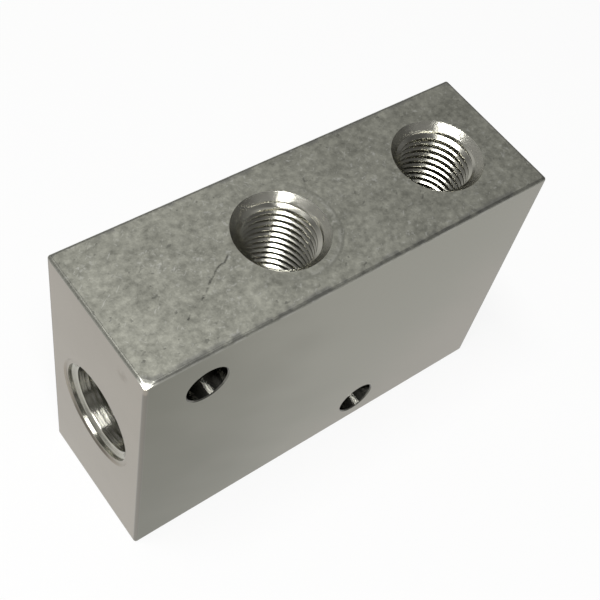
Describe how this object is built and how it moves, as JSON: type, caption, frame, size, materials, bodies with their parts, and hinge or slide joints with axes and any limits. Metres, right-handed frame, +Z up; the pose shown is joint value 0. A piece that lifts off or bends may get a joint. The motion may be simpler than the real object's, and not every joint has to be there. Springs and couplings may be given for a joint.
{
  "type": "manifold block",
  "caption": "Rectangular aluminium manifold block with a threaded inlet in its end, threaded ports in its top joined by a gallery, and plain cross holes for mounting.",
  "frame": {"origin": "centre of the underside", "axes": "+X along the block from its inlet end to its blind end, +Y from the front face to the back face, +Z up"},
  "size_m": [0.0762, 0.0254, 0.0508],
  "materials": {
    "machined_aluminium": "milled and lightly tumbled, with a dull mottled top and bright bored ports"
  },
  "bodies": {
    "root": {"manifold_block": "machined_aluminium"}
  },
  "joints": []
}
